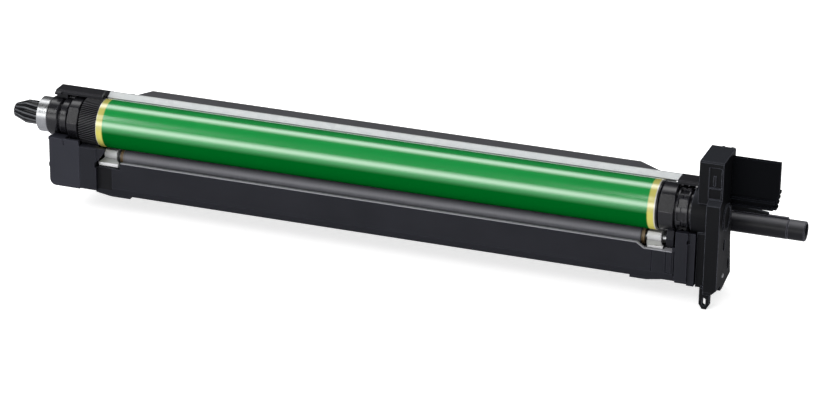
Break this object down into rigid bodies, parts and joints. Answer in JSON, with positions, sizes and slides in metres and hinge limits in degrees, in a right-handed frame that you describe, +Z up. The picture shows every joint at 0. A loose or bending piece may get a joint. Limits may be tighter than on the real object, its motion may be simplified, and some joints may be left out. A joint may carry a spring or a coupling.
{
  "type": "printer drum unit",
  "caption": "Long green photoconductor drum in a black frame, with a charge roller below it, a cleaning blade and waste auger behind it, a splined drive end and a cover with a grip.",
  "frame": {"origin": "centre of the drive end's ball bearing, on the drum's axis", "axes": "+X along the drum from the drive end to the grip, +Y to the rear, where the blade and the waste housing are, +Z up"},
  "size_m": [0.499, 0.051, 0.0929],
  "materials": {
    "photoconductor": "glossy coating",
    "black_plastic": "satin moulding",
    "frame_plastic": "satin moulding",
    "grey_plastic": "satin moulding",
    "white_plastic": "satin moulding",
    "tan_plastic": "satin moulding",
    "ivory_plastic": "satin moulding",
    "steel": "ground",
    "dark_steel": "blackened",
    "galvanised": "galvanised sheet",
    "roller_rubber": "smooth rubber",
    "foam": "open foam",
    "urethane": "smooth",
    "film": "film",
    "pale_film": "satin film",
    "bronze": "spring bronze"
  },
  "bodies": {
    "frame": {"main_frame": "frame_plastic", "left_end_cover": "frame_plastic", "left_holder_cap": "black_plastic", "right_holder_cap": "black_plastic", "left_collar": "black_plastic", "right_collar": "black_plastic", "support_shaft": "steel", "end_cover": "black_plastic", "grip": "black_plastic", "waste_housing": "frame_plastic", "housing_cover": "black_plastic", "blade_holder": "galvanised", "cleaning_blade": "urethane", "recovery_seal": "film", "waste_outlet_tube": "black_plastic", "idler_pin": "steel", "roller_spring_left": "steel", "roller_spring_right": "steel", "contact_pin": "steel", "cap_screws": "dark_steel", "sheet_screws": "steel", "wall_strip": "pale_film", "bearing_outer_ring": "steel", "bearing_shields": "steel"},
    "drum": {"drum_tube": "photoconductor", "drive_flange": "black_plastic", "support_flange": "black_plastic", "drive_shaft": "steel", "spline_coupling": "grey_plastic", "bearing_inner_ring": "steel", "earth_plate": "bronze"},
    "ball_set": {"bearing_balls": "steel", "bearing_cage": "tan_plastic"},
    "carriage": {"roller_block_left": "white_plastic", "roller_block_right": "white_plastic"},
    "charge_roller": {"charge_roller_shaft": "steel", "charge_roller_sleeve": "roller_rubber", "roller_spacers": "tan_plastic"},
    "cleaner_roller": {"cleaner_roller_shaft": "steel", "cleaner_roller_foam": "foam"},
    "auger": {"auger_screw": "ivory_plastic", "auger_gear": "ivory_plastic"},
    "idler": {"idler_gear": "ivory_plastic"}
  },
  "joints": [
    {"name": "drum_spin", "type": "hinge", "parent": "frame", "child": "drum", "pos_m": [0, 0, 0], "axis": [1, 0, 0], "continuous": true},
    {"name": "ball_set_spin", "type": "hinge", "parent": "frame", "child": "ball_set", "pos_m": [0, 0, 0], "axis": [1, 0, 0], "continuous": true},
    {"name": "roller_press", "type": "slide", "parent": "frame", "child": "carriage", "axis": [0, 0, 1], "range_m": [-0.0012, 0], "stiffness_N_per_m": 800, "springref_m": 0.004, "deforming": ["roller_spring_left", "roller_spring_right"]},
    {"name": "charge_roller_spin", "type": "hinge", "parent": "carriage", "child": "charge_roller", "pos_m": [0.2, 0.00074, -0.02114], "axis": [1, 0, 0], "continuous": true},
    {"name": "cleaner_roller_spin", "type": "hinge", "parent": "carriage", "child": "cleaner_roller", "pos_m": [0.2, 0.00207, -0.03064], "axis": [1, 0, 0], "continuous": true},
    {"name": "idler_spin", "type": "hinge", "parent": "frame", "child": "idler", "pos_m": [0.032, 0.01291, -0.01478], "axis": [1, 0, 0], "continuous": true},
    {"name": "auger_spin", "type": "hinge", "parent": "frame", "child": "auger", "pos_m": [0.2, 0.024, -0.014], "axis": [1, 0, 0], "continuous": true}
  ],
  "couplings": [
    {"joint": "ball_set_spin", "follows": "drum_spin", "ratio": 0.36767},
    {"joint": "charge_roller_spin", "follows": "drum_spin", "ratio": -2.5},
    {"joint": "cleaner_roller_spin", "follows": "drum_spin", "ratio": 4.2857},
    {"joint": "idler_spin", "follows": "drum_spin", "ratio": -2.9},
    {"joint": "auger_spin", "follows": "drum_spin", "ratio": 2.4167}
  ]
}
